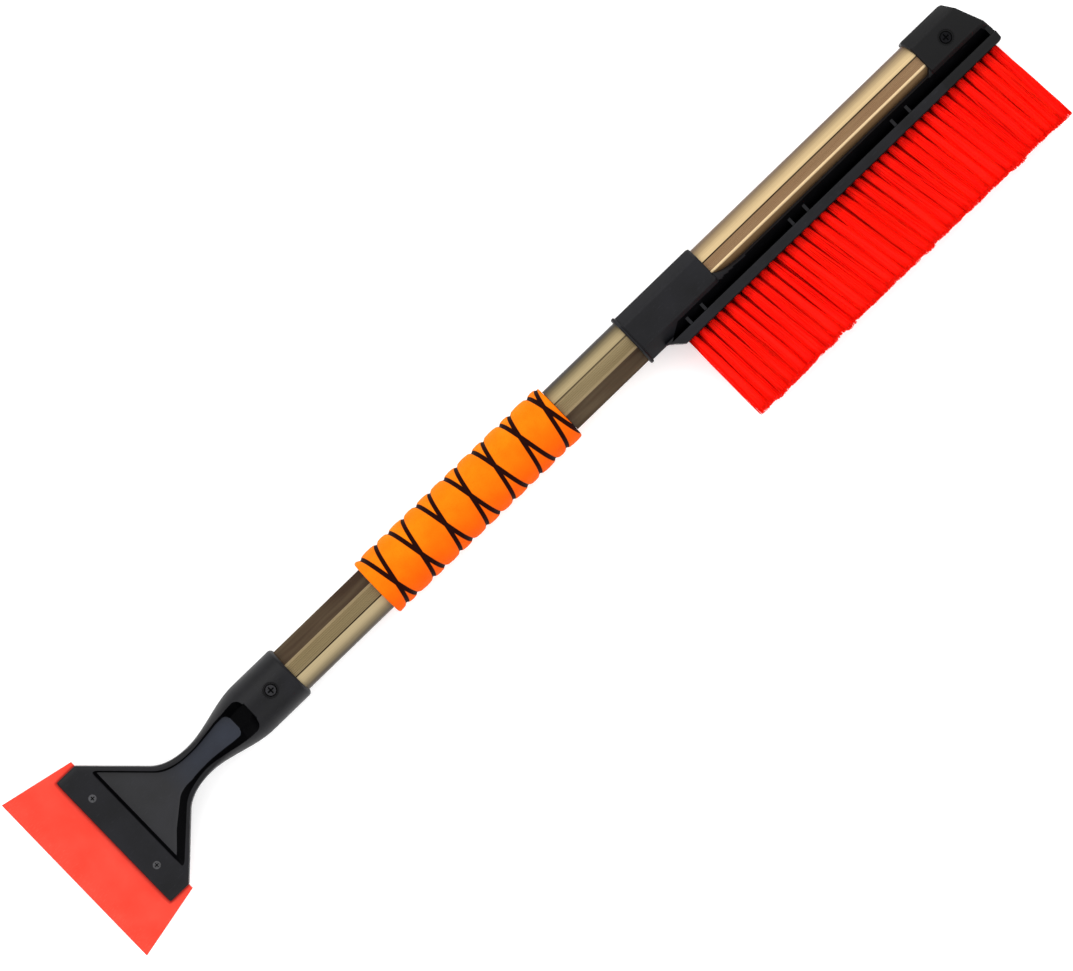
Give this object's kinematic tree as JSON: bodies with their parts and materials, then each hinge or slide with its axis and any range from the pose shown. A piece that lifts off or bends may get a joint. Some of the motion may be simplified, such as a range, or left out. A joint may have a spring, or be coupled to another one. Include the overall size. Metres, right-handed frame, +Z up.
{
  "type": "snow brush with ice scraper",
  "caption": "Car snow brush and ice scraper on one round ribbed aluminium handle with a foam grip; the scraper end pulls out of the brush end once its snap button is pressed.",
  "frame": {"origin": "on the surface the tool lies on, below the middle of its overall box", "axes": "+X along the handle from the scraper to the brush's cap, +Y away from the bristles, +Z up, out of the face that carries the screws"},
  "size_m": [0.6854, 0.1352, 0.0369],
  "materials": {
    "blade_plastic": "satin",
    "black_plastic": "satin",
    "inner_plastic": "satin",
    "screw_steel": "satin",
    "spring_steel": "satin",
    "anodised_tube": "satin",
    "grip_foam": "matte",
    "bristle": "satin"
  },
  "bodies": {
    "brush_half": {"brush_tube": "anodised_tube", "brush_plug": "inner_plastic", "brush_head": "black_plastic", "cap_screw": "screw_steel", "bristle_row_1": "bristle", "bristle_row_2": "bristle", "bristle_row_3": "bristle", "bristle_row_4": "bristle"},
    "scraper_half": {"scraper_blade": "blade_plastic", "scraper_head": "black_plastic", "blade_screw_left": "screw_steel", "blade_screw_right": "screw_steel", "socket_screw": "screw_steel", "scraper_plug": "inner_plastic", "scraper_tube": "anodised_tube", "foam_grip": "grip_foam", "coupler_spigot": "inner_plastic", "coupler_pin": "screw_steel", "snap_spring": "spring_steel"},
    "button": {"snap_button": "spring_steel"}
  },
  "joints": [
    {"name": "pull_apart", "type": "slide", "parent": "brush_half", "child": "scraper_half", "axis": [-1, 0, 0], "range_m": [0, 0.07], "deforming": ["snap_button"]},
    {"name": "button_press", "type": "slide", "parent": "scraper_half", "child": "button", "axis": [0, 0, 1], "range_m": [0, 0.0035], "stiffness_N_per_m": 1500, "springref_m": -0.001, "deforming": ["snap_spring"]}
  ]
}
